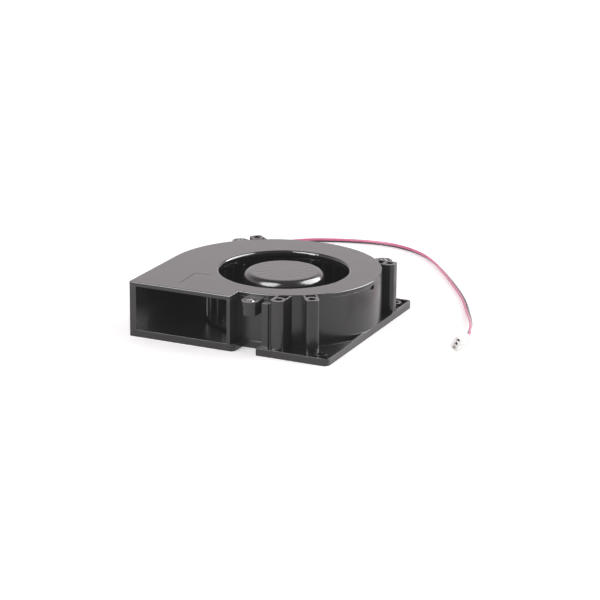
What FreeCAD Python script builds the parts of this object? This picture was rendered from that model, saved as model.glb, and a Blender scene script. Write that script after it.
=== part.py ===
import FreeCAD, Part
import Sketcher
import math
import os
import re

# Centrifugal blower: square-based scroll casing, screwed cover with a round intake,
# forward-curved impeller on an outer-rotor motor, and a two-wire lead with a 3-way plug.
# Row frame: origin on the impeller axis at the underside of the base, +Z up to the intake,
# the outlet opens towards -Y at the -X side.  Millimetres.

DIMENSIONS = {
    # casing
    "base_side": 120,
    "overall_height": 32,
    "scroll_step": 5.4,
    "wall": 2,
    "corner_radius": 3,
    "plate_top": 4.2,
    "tray_floor": 2,
    "tray_rim": 1.5,
    "outlet_overhang": 2.2,
    "outlet_outside": 63.1,
    "outlet_flange": 2.5,
    "outlet_post": 2.5,
    "outlet_corner": 1.2,
    "outlet_post_depth": 14,
    "front_notch": 13.3,
    "tongue_radius": 2,
    "cover_thickness": 2.5,
    "cover_edge": 0.6,
    # fastening
    "corner_pitch": 105,
    "fixing_hole": 2.2,
    "post_radius": 3.9,
    "post_corner": 2.4,
    "corner_ring": 3.7,
    "rib": 1,
    "lug_radius": 4.5,
    "lug_root": 10,
    "ear_radius": 4.9,
    "ear_top": 29.8,
    "ear_thickness": 2.2,
    "ear_seat": 1.1,
    "lug_bottom": 22,
    "screw_radius": 1.45,
    "screw_clearance": 1.7,
    "screw_length": 5.5,
    "head_radius": 2.75,
    "head_height": 1.4,
    # underside
    "label_recess": 0.3,
    "label_radius": 21.5,
    "label_thickness": 0.25,
    "relief_inner": 24,
    "relief_outer": 41,
    "relief_depth": 2.2,
    "relief_count": 8,
    "relief_half_angle": 20,
    # intake and impeller
    "intake_edge": 38.3,
    "intake_throat": 37,
    "intake_depth": 2.9,
    "intake_skin": 1.3,
    "hub_radius": 23.3,
    "hub_top": 31.2,
    "hub_edge": 4,
    "hub_wall": 2.5,
    "hub_roof": 1.8,
    "back_plate_bottom": 5.6,
    "back_plate": 1.2,
    "blade_root": 37,
    "blade_bend": 7,
    "blade_turn": 70,
    "blade_thickness": 1,
    "blade_top": 26.6,
    "blade_count": 28,
    "wheel_radius": 44.4,
    "top_ring_height": 2.2,
    "top_ring_width": 2.6,
    # bearings and shaft
    "shaft_radius": 1.5,
    "shaft_bottom": 2.3,
    "shaft_top": 29,
    "tube_inside": 5,
    "tube_outside": 6.2,
    "tube_bottom": 0.8,
    "tube_shoulder": 4.4,
    "bearing_width": 4,
    "lower_bearing": 3.7,
    "upper_bearing": 20.6,
    "race_gap": 0.5,
    "ball_radius": 0.75,
    "ball_circle": 3.25,
    "ball_count": 7,
    "running_gap": 0.02,
    "shield_thickness": 0.15,
    "clip_thickness": 0.4,
    "spring_wire": 0.2,
    "spring_radius": 2.1,
    "bushing_bottom": 26.2,
    # motor
    "yoke_bottom": 10.6,
    "yoke_skin": 1,
    "magnet_inside": 17.4,
    "magnet_bottom": 11.6,
    "magnet_height": 12,
    "air_gap": 0.5,
    "stack_bottom": 12.2,
    "stack_height": 9,
    "core_ring": 8.6,
    "tooth_width": 4,
    "tooth_end": 14.4,
    "shoe_inside": 15.5,
    "shoe_half_angle": 36,
    "tooth_count": 4,
    "bobbin": 0.8,
    "collar_radius": 8.2,
    "coil_start": 9.2,
    "coil_length": 4.2,
    "coil_build": 2.2,
    "board_bottom": 6.4,
    "board_thickness": 1,
    "board_radius": 18.3,
    # lead and plug
    "lead_exit_angle": 105,
    "lead_half_pitch": 0.8,
    "lead_radius": 0.75,
    "lead_clearance": 0.15,
    "groove_width": 3.6,
    "plug_pitch": 2.54,
    "plug_thickness": 5,
    "plug_length": 10,
    "plug_cavity": 2,
    "plug_lean": 62,
    "plug_heading": 8,
    "plug_centre_height": 4.67,
    "plug_across": 107.6,
    "plug_front": -5,
    "contact_wall": 0.25,
    "contact_length": 5.2,
}

doc = FreeCAD.newDocument("Blower")
sheet = doc.addObject("Spreadsheet::Sheet", "Dim")
for row, (name, size) in enumerate(DIMENSIONS.items(), start=1):
    sheet.set("A%d" % row, name)
    sheet.set("B%d" % row, str(size))
    sheet.setAlias("B%d" % row, name)
doc.recompute()


# ---------------------------------------------------------------- helpers

def formula(text):
    """Point each dimension name in a formula at its spreadsheet cell."""
    def cell(word):
        return "Dim." + word.group() if word.group() in DIMENSIONS else word.group()
    return re.sub(r"[a-z_]+", cell, str(text))


def value(text):
    """Number that a formula gives with the dimensions as they stand."""
    return float(sheet.evalExpression(formula(text)))


def origin_part(body, role):
    """Return one of a body's own planes or axes."""
    return next(item for item in body.Origin.OriginFeatures if item.Role == role)


def sketch(body, name, height="0", role="XY_Plane"):
    """Start a sketch on a plane of its own body, raised along that plane's normal."""
    drawing = body.newObject("Sketcher::SketchObject", name)
    drawing.AttachmentSupport = [(origin_part(body, role), "")]
    drawing.MapMode = "FlatFace"
    drawing.setExpression("AttachmentOffset.Base.z", formula(height))
    return drawing


def fix(drawing, constraint, text):
    """Add a dimension to a sketch and tie it to a formula."""
    index = drawing.addConstraint(constraint)
    drawing.setExpression("Constraints[%d]" % index, formula(text))


def circle(drawing, radius, x="0", y="0"):
    """Add a circle by its radius and centre."""
    centre = FreeCAD.Vector(value(x), value(y), 0)
    curve = Part.Circle(centre, FreeCAD.Vector(0, 0, 1), value(radius))
    index = drawing.addGeometry(curve, False)
    fix(drawing, Sketcher.Constraint("DistanceX", -1, 1, index, 3, centre.x), x)
    fix(drawing, Sketcher.Constraint("DistanceY", -1, 1, index, 3, centre.y), y)
    fix(drawing, Sketcher.Constraint("Radius", index, value(radius)), radius)


def bend(start, finish, radius, left):
    """Return the shorter arc between two points, turning left or right."""
    chord = finish - start
    normal = FreeCAD.Vector(-chord.y, chord.x, 0).normalize()
    depth = math.sqrt(max(radius ** 2 - chord.Length ** 2 / 4, 0))
    side = 1 if left else -1
    centre = (start + finish) * 0.5 + normal * (side * depth)
    first, last = (start, finish) if left else (finish, start)
    round_curve = Part.Circle(centre, FreeCAD.Vector(0, 0, 1), radius)
    return Part.ArcOfCircle(round_curve, round_curve.parameter(first), round_curve.parameter(last))


def outline(drawing, corners):
    """Add a closed outline.  A corner is (x, y), or (x, y, radius, side) when the next edge is an arc."""
    points = [FreeCAD.Vector(value(corner[0]), value(corner[1]), 0) for corner in corners]
    ends = []
    for index, corner in enumerate(corners):
        start = points[index]
        finish = points[(index + 1) % len(points)]
        if len(corner) == 2:
            edge = drawing.addGeometry(Part.LineSegment(start, finish), False)
            ends.append((edge, 1, 2))
        else:
            left = corner[3] == "left"
            edge = drawing.addGeometry(bend(start, finish, value(corner[2]), left), False)
            ends.append((edge, 1, 2) if left else (edge, 2, 1))
    for index, corner in enumerate(corners):
        edge, start, finish = ends[index]
        following, following_start, _ = ends[(index + 1) % len(ends)]
        drawing.addConstraint(Sketcher.Constraint("Coincident", edge, finish, following, following_start))
        place = points[index]
        fix(drawing, Sketcher.Constraint("DistanceX", -1, 1, edge, start, place.x), corner[0])
        fix(drawing, Sketcher.Constraint("DistanceY", -1, 1, edge, start, place.y), corner[1])
        if len(corner) > 2:
            fix(drawing, Sketcher.Constraint("Radius", edge, value(corner[2])), corner[2])


def rectangle(drawing, left, bottom, right, top):
    """Add a rectangle by its four sides."""
    outline(drawing, [(left, bottom), (right, bottom), (right, top), (left, top)])


def pad(body, drawing, length):
    """Raise a sketch along its normal."""
    feature = body.newObject("PartDesign::Pad", drawing.Name + "_pad")
    feature.Profile = drawing
    feature.setExpression("Length", formula(length))
    body.Tip = feature
    return feature


def pocket(body, drawing, length, upwards=False):
    """Cut a sketch into the body, down from its plane unless told to go upwards."""
    feature = body.newObject("PartDesign::Pocket", drawing.Name + "_cut")
    feature.Profile = drawing
    feature.Reversed = upwards
    feature.setExpression("Length", formula(length))
    body.Tip = feature
    return feature


def revolve(body, drawing):
    """Turn a sketch on the XZ plane a full circle about the body's Z axis."""
    feature = body.newObject("PartDesign::Revolution", drawing.Name + "_turned")
    feature.Profile = drawing
    feature.ReferenceAxis = (origin_part(body, "Z_Axis"), [""])
    feature.Angle = 360
    body.Tip = feature
    return feature


def polar(body, feature, count):
    """Repeat a feature evenly about the body's Z axis."""
    pattern = body.newObject("PartDesign::PolarPattern", feature.Name + "_ring")
    pattern.Originals = [feature]
    pattern.Axis = (origin_part(body, "Z_Axis"), [""])
    pattern.Angle = 360
    pattern.setExpression("Occurrences", formula(count))
    body.Tip = pattern
    return pattern


def new_body(label):
    """Start a PartDesign body that may hold several solids."""
    return doc.addObject("PartDesign::Body", label)


def turned(label, *profiles):
    """Body made by turning one or more (radius, height) profiles about Z."""
    body = new_body(label)
    for number, profile in enumerate(profiles):
        drawing = sketch(body, "%s_profile_%d" % (label, number), role="XZ_Plane")
        outline(drawing, profile)
        revolve(body, drawing)
    return body


def primitive(kind, label, sizes, base, angle=None):
    """Part primitive with its sizes and place tied to formulas."""
    item = doc.addObject("Part::" + kind, label)
    for name, text in sizes.items():
        item.setExpression(name, formula(text))
    for axis, text in zip("xyz", base):
        item.setExpression("Placement.Base." + axis, formula(text))
    if angle is not None:
        item.setExpression("Placement.Rotation.Angle", formula(angle))
    return item


def cylinder(label, radius, bottom, top, x="0", y="0"):
    """Upright cylinder between two heights."""
    height = "(%s) - (%s)" % (top, bottom)
    return primitive("Cylinder", label, {"Radius": radius, "Height": height}, (x, y, bottom))


def bar(label, start, angle, length, width, bottom, top):
    """Upright bar that runs from a point in plan at an angle, centred on its own line."""
    x, y = start
    corner_x = "(%s) + (%s) / 2 * sin((%s) * 1deg)" % (x, width, angle)
    corner_y = "(%s) - (%s) / 2 * cos((%s) * 1deg)" % (y, width, angle)
    sizes = {"Length": length, "Width": width, "Height": "(%s) - (%s)" % (top, bottom)}
    return primitive("Box", label, sizes, (corner_x, corner_y, bottom), angle)


def fused(label, items):
    """Join items into one solid."""
    result = doc.addObject("Part::MultiFuse", label)
    result.Shapes = items
    result.Refine = True
    return result


def gathered(label, items):
    """Keep several separate solids together in one node."""
    result = doc.addObject("Part::Compound", label)
    result.Links = items
    return result


def cut(label, base, tools):
    """Take tools away from a base."""
    result = doc.addObject("Part::Cut", label)
    result.Base = base
    result.Tool = tools[0] if len(tools) == 1 else fused(label + "_tools", tools)
    result.Refine = True
    return result


def edge_names(shape, test):
    """Names of the edges of a shape that pass a test."""
    return ["Edge%d" % (index + 1) for index, edge in enumerate(shape.Edges) if test(edge)]


# ------------------------------------------------- places used more than once

LEFT = "(-base_side / 2 - scroll_step - outlet_overhang)"
RIGHT = "(base_side / 2 - scroll_step)"
BACK = "(base_side / 2)"
FRONT = "(-base_side / 2)"
SCROLL_FRONT = "(-base_side / 2 + 2 * scroll_step)"
OFFSET = "(scroll_step / 2)"
OUTLET_RIGHT = "(%s + outlet_outside)" % LEFT
COVER_BOTTOM = "(overall_height - cover_thickness)"
EAR_SEAT = "(ear_top - ear_seat)"
HALF_PITCH = "(corner_pitch / 2)"

# Full-height through posts: name, place in plan, direction of the ribs back to the scroll.
POSTS = (
    ("front", ("22", "-53.6"), "90", "9"),
    ("front_right", ("37.9", "-44.6"), "123", "8.5"),
    ("rear_right", ("49", "38.2"), "180", "8"),
    ("rear_left", ("-42.7", "52.9"), "-42", "9"),
)

# Cover screw lugs: name, place in plan, direction back to the scroll.
LUGS = (
    ("front", ("5.7", "-55.5"), "90"),
    ("rear_right", ("40.7", "49.2"), "-133"),
    ("rear_left", ("-51.6", "48.9"), "-46.5"),
)

# Base fixing holes on the corners that the outlet leaves free.
CORNERS = (
    ("front_right", HALF_PITCH + " - scroll_step", "-" + HALF_PITCH),
    ("rear_right", HALF_PITCH + " - scroll_step", HALF_PITCH),
    ("rear_left", "-" + HALF_PITCH + " - scroll_step", HALF_PITCH),
)


def scroll_outline(drawing):
    """Scroll and outlet outline: three quarter arcs, each one step larger than the last."""
    outline(drawing, [
        (LEFT + " + outlet_corner", FRONT),
        (OUTLET_RIGHT, FRONT),
        (OUTLET_RIGHT, SCROLL_FRONT),
        (OFFSET, SCROLL_FRONT, "base_side / 2 - 1.5 * scroll_step", "left"),
        (RIGHT, OFFSET, "base_side / 2 - 0.5 * scroll_step", "left"),
        ("-" + OFFSET, BACK),
        ("-%s - outlet_overhang" % OFFSET, BACK, "base_side / 2 + 0.5 * scroll_step", "left"),
        (LEFT, "-" + OFFSET),
        (LEFT, FRONT + " + outlet_corner", "outlet_corner", "left"),
    ])


def air_outline(drawing):
    """Air passage: round tongue, scroll and an outlet that runs out past the front face."""
    mouth = "%s - 1" % FRONT
    duct_right = "(%s - wall)" % OUTLET_RIGHT
    floor_line = "(%s + wall)" % SCROLL_FRONT
    outline(drawing, [
        ("%s + wall + outlet_post" % LEFT, mouth),
        (duct_right, mouth),
        (duct_right, floor_line + " - tongue_radius", "tongue_radius", "right"),
        (duct_right + " + tongue_radius", floor_line),
        (OFFSET, floor_line, "base_side / 2 - 1.5 * scroll_step - wall", "left"),
        ("%s - wall" % RIGHT, OFFSET, "base_side / 2 - 0.5 * scroll_step - wall", "left"),
        ("-" + OFFSET, "%s - wall" % BACK),
        ("-%s - outlet_overhang" % OFFSET, "%s - wall" % BACK,
         "base_side / 2 + 0.5 * scroll_step - wall", "left"),
        ("%s + wall" % LEFT, "-" + OFFSET),
        ("%s + wall" % LEFT, "%s + outlet_post_depth + 3" % FRONT),
        ("%s + wall + outlet_post" % LEFT, "%s + outlet_post_depth" % FRONT),
    ])


def base_outline(drawing):
    """Square base with three rounded corners and a notch beside the outlet."""
    flange = "(%s + outlet_flange)" % OUTLET_RIGHT
    notch = "(%s + outlet_flange + front_notch)" % OUTLET_RIGHT
    r = "corner_radius"
    outline(drawing, [
        (LEFT + " + outlet_corner", FRONT),
        ("%s - %s" % (flange, r), FRONT, r, "left"),
        (flange, "%s + %s" % (FRONT, r)),
        (flange, SCROLL_FRONT),
        (notch, SCROLL_FRONT),
        (notch, FRONT),
        ("%s - %s" % (RIGHT, r), FRONT, r, "left"),
        (RIGHT, "%s + %s" % (FRONT, r)),
        (RIGHT, "%s - %s" % (BACK, r), r, "left"),
        ("%s - %s" % (RIGHT, r), BACK),
        ("%s + %s" % (LEFT, r), BACK, r, "left"),
        (LEFT, "%s - %s" % (BACK, r)),
        (LEFT, FRONT + " + outlet_corner", "outlet_corner", "left"),
    ])


# ------------------------------------------------------------ casing and cover

def casing_core():
    """Base plate with three corner trays, scroll wall, motor seat and relieved underside."""
    body = new_body("casing_core")
    plate = sketch(body, "base_plan")
    base_outline(plate)
    pad(body, plate, "plate_top")
    first_post = POSTS[0][1][0]
    trays = (
        (first_post, "%s + tray_rim" % FRONT, "%s - tray_rim" % RIGHT, "0"),
        ("0", "0", "%s - tray_rim" % RIGHT, "%s - tray_rim" % BACK),
        ("%s + tray_rim" % LEFT, "0", "0", "%s - tray_rim" % BACK),
    )
    for number, sides in enumerate(trays):
        tray = sketch(body, "tray_%d" % number, "plate_top")
        rectangle(tray, *sides)
        pocket(body, tray, "plate_top - tray_floor")
    scroll = sketch(body, "scroll_plan")
    scroll_outline(scroll)
    pad(body, scroll, COVER_BOTTOM)
    air = sketch(body, "air_plan", COVER_BOTTOM)
    air_outline(air)
    pocket(body, air, COVER_BOTTOM + " - plate_top")
    seat = sketch(body, "tube_seat")
    circle(seat, "tube_outside + 2.3")
    pad(body, seat, "board_bottom")
    bore = sketch(body, "tube_bore")
    circle(bore, "tube_outside")
    pocket(body, bore, "board_bottom", upwards=True)
    label = sketch(body, "label_plan")
    circle(label, "label_radius + 0.3")
    pocket(body, label, "label_recess", upwards=True)
    relief = sketch(body, "relief_plan")
    sector(relief, "relief_inner", "relief_outer", "lead_exit_angle", "relief_half_angle")
    polar(body, pocket(body, relief, "relief_depth", upwards=True), "relief_count")
    return body


def sector(drawing, inner, outer, middle, half):
    """Ring sector between two radii, centred on an angle."""
    first = "((%s - %s) * 1deg)" % (middle, half)
    last = "((%s + %s) * 1deg)" % (middle, half)
    outline(drawing, [
        ("%s * cos%s" % (inner, first), "%s * sin%s" % (inner, first)),
        ("%s * cos%s" % (outer, first), "%s * sin%s" % (outer, first), outer, "left"),
        ("%s * cos%s" % (outer, last), "%s * sin%s" % (outer, last)),
        ("%s * cos%s" % (inner, last), "%s * sin%s" % (inner, last), inner, "right"),
    ])


def shifted(place, facing, along, across):
    """Point moved from a place by two distances, along a direction and across it."""
    x, y = place
    run = "(%s * 1deg)" % facing
    return ("%s + (%s) * cos%s - (%s) * sin%s" % (x, along, run, across, run),
            "%s + (%s) * sin%s + (%s) * cos%s" % (y, along, run, across, run))


def post_pieces(name, place, facing, reach):
    """Through post: squared outer end with round corners, a ring, and two thin webs back to the scroll."""
    top = "overall_height"
    corner_line = "(post_radius - post_corner)"
    blocks = (("nose", "post_radius", "2 * " + corner_line), ("shoulder", corner_line, "2 * post_radius"))
    pieces = [cylinder("post_" + name, "post_radius", "0", top, *place)]
    for kind, out, width in blocks:
        start = shifted(place, facing, "-" + out, "0")
        pieces.append(bar("post_%s_%s" % (kind, name), start, facing, out, width, "0", top))
    for number, side in enumerate(("", "-")):
        corner = shifted(place, facing, "-" + corner_line, side + corner_line)
        pieces.append(cylinder("post_corner_%s_%d" % (name, number), "post_corner", "0", top, *corner))
        root = shifted(place, facing, "0", side + "(post_radius - rib / 2)")
        pieces.append(bar("post_web_%s_%d" % (name, number), root, facing, reach, "rib", "0", top))
    return pieces


def lug_pieces(label, place, facing, radius, bottom, top):
    """U-shaped screw lug that runs back to the scroll wall."""
    ring = cylinder(label + "_ring", radius, bottom, top, *place)
    root = bar(label + "_root", place, facing, "lug_root", "2 * " + radius, bottom, top)
    return [ring, root]


def filler_blocks():
    """Block that closes the base notch beside the first post, with a shallow groove before the post."""
    post = POSTS[0][1][0]
    left = "%s + outlet_flange + front_notch + 2 * rib" % OUTLET_RIGHT
    steps = (("face", post + " - post_radius - rib", "3"), ("groove", post + " - post_radius + rib", "4.2"))
    return [primitive("Box", "filler_" + name,
                      {"Length": "(%s) - (%s)" % (right, left), "Width": "12 - " + back, "Height": COVER_BOTTOM},
                      (left, "%s + %s" % (FRONT, back), "0"))
            for name, right, back in steps]


def scroll_room(label, bottom, height):
    """Room taken by the scroll outline between two heights."""
    room = new_body(label)
    plan = sketch(room, label + "_plan", bottom)
    scroll_outline(plan)
    pad(room, plan, height)
    return room


def lower_casing():
    """Casing with posts, screw lugs, ringed base holes, lead groove and snap slot."""
    posts = []
    solids = [casing_core()] + filler_blocks()
    holes = []
    for name, place, facing, reach in POSTS:
        posts += post_pieces(name, place, facing, reach)
        holes.append(cylinder("post_hole_" + name, "fixing_hole", "-1", "overall_height + 1", *place))
    under_cover = scroll_room("cover_room", COVER_BOTTOM, "cover_thickness + 1")
    solids.append(cut("posts_outside", fused("post_blanks", posts), [under_cover]))
    ear_bottom = "ear_top - ear_thickness"
    for name, place, facing in LUGS:
        solids += lug_pieces("lug_" + name, place, facing, "lug_radius", "lug_bottom", ear_bottom)
        holes.append(cylinder("pilot_" + name, "screw_radius", EAR_SEAT + " - screw_length - 0.5",
                              "ear_top", *place))
    for name, x, y in CORNERS:
        solids.append(cylinder("corner_ring_" + name, "corner_ring", "0", "plate_top", x, y))
        holes.append(cylinder("corner_hole_" + name, "fixing_hole", "-1", "plate_top + 1", x, y))
    solids.append(bar("tray_rib_rear", ("%s - scroll_step" % HALF_PITCH, HALF_PITCH), "180", "16",
                      "rib", "0", "plate_top"))
    solids.append(bar("tray_rib_front", ("%s - scroll_step" % HALF_PITCH, "-" + HALF_PITCH), "135", "10",
                      "rib", "0", "plate_top"))
    walls = fused("casing_solid", solids)
    air_room = new_body("air_room")
    air = sketch(air_room, "air_room_plan", "plate_top")
    air_outline(air)
    pad(air_room, air, "overall_height")
    seat_tube = cylinder("seat_tube", "tube_outside + 2.3", "plate_top - 1", "board_bottom")
    seat = cut("seat_ring", seat_tube, [cylinder("seat_bore", "tube_outside", "0", "board_bottom + 1")])
    hollow = cut("casing_hollow", walls, [air_room])
    along = "lead_exit_angle"
    start = ("13.2 * cos(%s * 1deg)" % along, "13.2 * sin(%s * 1deg)" % along)
    groove = bar("lead_groove", start, along, "55", "groove_width", "-1", "relief_depth")
    well = bar("lead_well", start, along, "5.8", "groove_width", "-1", "plate_top + 1")
    slot = primitive("Box", "snap_slot", {"Length": "3", "Width": "5", "Height": "2.2"},
                     (RIGHT + " - 1.7", "-2.2", COVER_BOTTOM + " - 2.2"))
    whole = fused("casing_whole", [hollow, seat])
    return cut("lower_casing", whole, holes + [groove, well, slot])


def cover_plate():
    """Flat cover with a rounded outer edge and a bell-mouth intake turned down into the scroll."""
    body = new_body("cover_plate")
    plan = sketch(body, "cover_plan", COVER_BOTTOM)
    scroll_outline(plan)
    pad(body, plan, "cover_thickness")
    opening = sketch(body, "intake_plan", "overall_height")
    circle(opening, "intake_edge + 1")
    pocket(body, opening, "cover_thickness")
    rim = sketch(body, "intake_profile", role="XZ_Plane")
    round_radius = "(intake_edge - intake_throat)"
    throat_top = "(overall_height - intake_edge + intake_throat)"
    outline(rim, [
        ("intake_edge", "overall_height", round_radius, "left"),
        ("intake_throat", throat_top),
        ("intake_throat", "overall_height - intake_depth"),
        ("intake_throat + intake_skin", "overall_height - intake_depth"),
        ("intake_throat + intake_skin", throat_top + " - 1.2"),
        ("intake_edge + 1.2", COVER_BOTTOM),
        ("intake_edge + 1.2", "overall_height"),
    ])
    revolve(body, rim)
    doc.recompute()
    top = value("overall_height")
    limit = value("intake_edge") + 3

    def outer_top_edge(edge):
        box = edge.BoundBox
        far = max(abs(box.XMin), abs(box.XMax), abs(box.YMin), abs(box.YMax))
        return box.ZMin > top - 0.01 and far > limit

    sharp = body.Tip
    rounding = body.newObject("PartDesign::Fillet", "cover_rounding")
    rounding.Base = (sharp, edge_names(sharp.Shape, outer_top_edge))
    rounding.setExpression("Radius", formula("cover_edge"))
    body.Tip = rounding
    return body


def airflow_marks():
    """Shallow cutters for two bent airflow lines engraved on the cover."""
    strokes = (
        (("-40.3", "-50"), "93.5", "20.5"),
        (("-41.6", "-29.6"), "7", "9.5"),
        (("-24", "-24.1"), "48", "6.1"),
        (("-19.9", "-19.5"), "-28", "11.5"),
    )
    depth = "overall_height - 0.25"
    return [bar("flow_mark_%d" % number, start, angle, length, "0.5", depth, "overall_height + 1")
            for number, (start, angle, length) in enumerate(strokes)]


def top_cover():
    """Cover with three stepped screw ears and a snap tongue in the casing slot."""
    ears = []
    holes = []
    for name, place, facing in LUGS:
        ears += lug_pieces("ear_" + name, place, facing, "ear_radius", "ear_top - ear_thickness", "ear_top")
        holes.append(cylinder("ear_hole_" + name, "screw_clearance", "lug_bottom", "overall_height", *place))
        holes.append(cylinder("ear_recess_" + name, "head_radius + 0.35", EAR_SEAT, "overall_height", *place))
    outside = cut("cover_ears", fused("cover_ear_blanks", ears), [scroll_room("casing_room", "0", COVER_BOTTOM)])
    tongue = primitive("Box", "snap_tongue", {"Length": "0.6", "Width": "4.4", "Height": "2.3"},
                       (RIGHT + " - 1.65", "-1.9", COVER_BOTTOM + " - 1.8"))
    whole = fused("cover_whole", [cover_plate(), outside, tongue])
    return cut("top_cover", whole, holes + airflow_marks())


def cover_screw(name, place):
    """Pan-head cross-recess screw with a ringed thread, standing in a cover ear."""
    label = "cover_screw_" + name
    ring_step = "0.5"
    shank = [("0", EAR_SEAT + " - screw_length"), ("screw_radius - 0.35", EAR_SEAT + " - screw_length")]
    for ring in range(8):
        height = "%s - screw_length + 0.3 + %d * %s" % (EAR_SEAT, ring, ring_step)
        shank.append(("screw_radius - 0.25", height))
        shank.append(("screw_radius", height + " + 0.2"))
    profile = shank + [
        ("screw_radius - 0.1", EAR_SEAT + " - 1"),
        ("screw_radius - 0.1", EAR_SEAT),
        ("head_radius", EAR_SEAT),
        ("head_radius", EAR_SEAT + " + head_height * 0.45", "head_radius", "left"),
        ("head_radius * 0.55", EAR_SEAT + " + head_height"),
        ("0", EAR_SEAT + " + head_height"),
    ]
    blank = turned(label + "_blank", profile)
    recess = [primitive("Box", "%s_slot_%d" % (label, number), sizes,
                        ("-(%s) / 2" % sizes["Length"], "-(%s) / 2" % sizes["Width"], EAR_SEAT + " + 0.5"))
              for number, sizes in enumerate((
                  {"Length": "2.9", "Width": "0.7", "Height": "2"},
                  {"Length": "0.7", "Width": "2.9", "Height": "2"},
              ))]
    screw = cut(label, blank, recess)
    screw.setExpression("Placement.Base.x", formula(place[0]))
    screw.setExpression("Placement.Base.y", formula(place[1]))
    return screw


def rear_label():
    """Blank round label that closes the motor seat from below."""
    body = new_body("rear_label")
    disc = sketch(body, "rear_label_plan", "label_recess - label_thickness")
    circle(disc, "label_radius")
    pad(body, disc, "label_thickness")
    return body


# ------------------------------------------------------------------- impeller

def impeller():
    """Hub cup, back plate, forward-curved blades and top ring in one moulding."""
    roof = "(hub_top - hub_roof)"
    inside = "(hub_radius - hub_wall)"
    plate_bottom = "back_plate_bottom"
    plate_top = "(back_plate_bottom + back_plate)"
    body = turned("impeller", [
        ("0", roof),
        (inside, roof),
        (inside, plate_bottom),
        ("wheel_radius", plate_bottom),
        ("wheel_radius", plate_top),
        ("hub_radius", plate_top),
        ("hub_radius", "hub_top - hub_edge", "hub_edge", "left"),
        ("hub_radius - hub_edge", "hub_top"),
        ("0", "hub_top"),
    ])
    blade = sketch(body, "blade_plan", "back_plate_bottom + back_plate / 2")
    sweep = "(blade_turn * 1deg)"
    front = "(blade_bend - blade_thickness / 2)"
    rear = "(blade_bend + blade_thickness / 2)"
    outline(blade, [
        ("blade_root", "-blade_thickness / 2", rear, "left"),
        ("blade_root + %s * sin%s" % (rear, sweep), "blade_bend - %s * cos%s" % (rear, sweep)),
        ("blade_root + %s * sin%s" % (front, sweep), "blade_bend - %s * cos%s" % (front, sweep), front, "right"),
        ("blade_root", "blade_thickness / 2"),
    ])
    polar(body, pad(body, blade, "blade_top - back_plate_bottom - back_plate / 2 - 0.5"), "blade_count")
    ring = sketch(body, "top_ring_profile", role="XZ_Plane")
    rectangle(ring, "wheel_radius - top_ring_width", "blade_top - top_ring_height", "wheel_radius", "blade_top")
    revolve(body, ring)
    return body


# ------------------------------------------------------------ rotor, shaft, bearings

def rotor_yoke():
    """Drawn steel cup pressed inside the hub."""
    outside = "(hub_radius - hub_wall)"
    roof = "(hub_top - hub_roof)"
    return turned("rotor_yoke", [
        ("3", roof + " - yoke_skin"),
        (outside + " - yoke_skin", roof + " - yoke_skin"),
        (outside + " - yoke_skin", "yoke_bottom"),
        (outside, "yoke_bottom"),
        (outside, roof),
        ("3", roof),
    ])


def rotor_magnet():
    """Ring magnet inside the yoke."""
    outside = "(hub_radius - hub_wall - yoke_skin)"
    return turned("rotor_magnet", [
        ("magnet_inside", "magnet_bottom"),
        (outside, "magnet_bottom"),
        (outside, "magnet_bottom + magnet_height"),
        ("magnet_inside", "magnet_bottom + magnet_height"),
    ])


def shaft_bushing():
    """Flanged brass bushing that joins the shaft to the yoke and hub."""
    roof = "(hub_top - hub_roof)"
    return turned("shaft_bushing", [
        ("shaft_radius", "bushing_bottom"),
        ("3", "bushing_bottom"),
        ("3", roof + " - yoke_skin - 1.4"),
        ("4.8", roof + " - yoke_skin - 1.4"),
        ("4.8", roof + " - yoke_skin"),
        ("3", roof + " - yoke_skin"),
        ("3", roof),
        ("shaft_radius", roof),
    ])


def shaft():
    """Ground steel shaft with a groove for the retaining clip."""
    groove_bottom = "(lower_bearing - clip_thickness)"
    return turned("shaft", [
        ("0", "shaft_bottom"),
        ("shaft_radius - 0.3", "shaft_bottom"),
        ("shaft_radius", "shaft_bottom + 0.3"),
        ("shaft_radius", groove_bottom),
        ("shaft_radius - 0.35", groove_bottom),
        ("shaft_radius - 0.35", "lower_bearing"),
        ("shaft_radius", "lower_bearing"),
        ("shaft_radius", "shaft_top"),
        ("0", "shaft_top"),
    ])


def retaining_clip():
    """Split ring snapped into the shaft groove under the lower bearing."""
    body = new_body("retaining_clip")
    plan = sketch(body, "retaining_clip_plan", "lower_bearing - clip_thickness")
    inner = "(shaft_radius - 0.35)"
    outer = "(shaft_radius + 0.75)"
    circle(plan, inner)
    circle(plan, outer)
    pad(body, plan, "clip_thickness")
    gap = sketch(body, "retaining_clip_gap", "lower_bearing")
    rectangle(gap, "0.4", "-0.7", "shaft_radius + 2", "0.7")
    pocket(body, gap, "clip_thickness")
    return body


def round_bar(points, radius):
    """Round bar along a smooth line through the points, drawn as a chain of tangent arcs."""
    line = Part.BSplineCurve()
    line.interpolate(Points=points)
    path = Part.Wire([arc.toShape() for arc in line.toBiArcs(radius / 15)])
    first = path.Edges[0]
    start = first.valueAt(first.FirstParameter)
    heading = first.tangentAt(first.FirstParameter)
    section = Part.Wire(Part.makeCircle(radius, start, heading))
    return path.makePipeShell([section], True, False, 1)


def preload_spring():
    """Light coil spring between the upper inner race and the bushing."""
    turns = 2
    per_turn = 16
    radius = value("spring_radius")
    wire = value("spring_wire")
    bottom = value("upper_bearing + bearing_width") + wire
    rise = value("bushing_bottom") - wire - bottom
    points = []
    for step in range(turns * per_turn + 1):
        angle = 2 * math.pi * step / per_turn
        height = bottom + rise * step / (turns * per_turn)
        points.append(FreeCAD.Vector(radius * math.cos(angle), radius * math.sin(angle), height))
    spring = doc.addObject("Part::Feature", "preload_spring")
    spring.Shape = round_bar(points, wire)
    return spring


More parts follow.
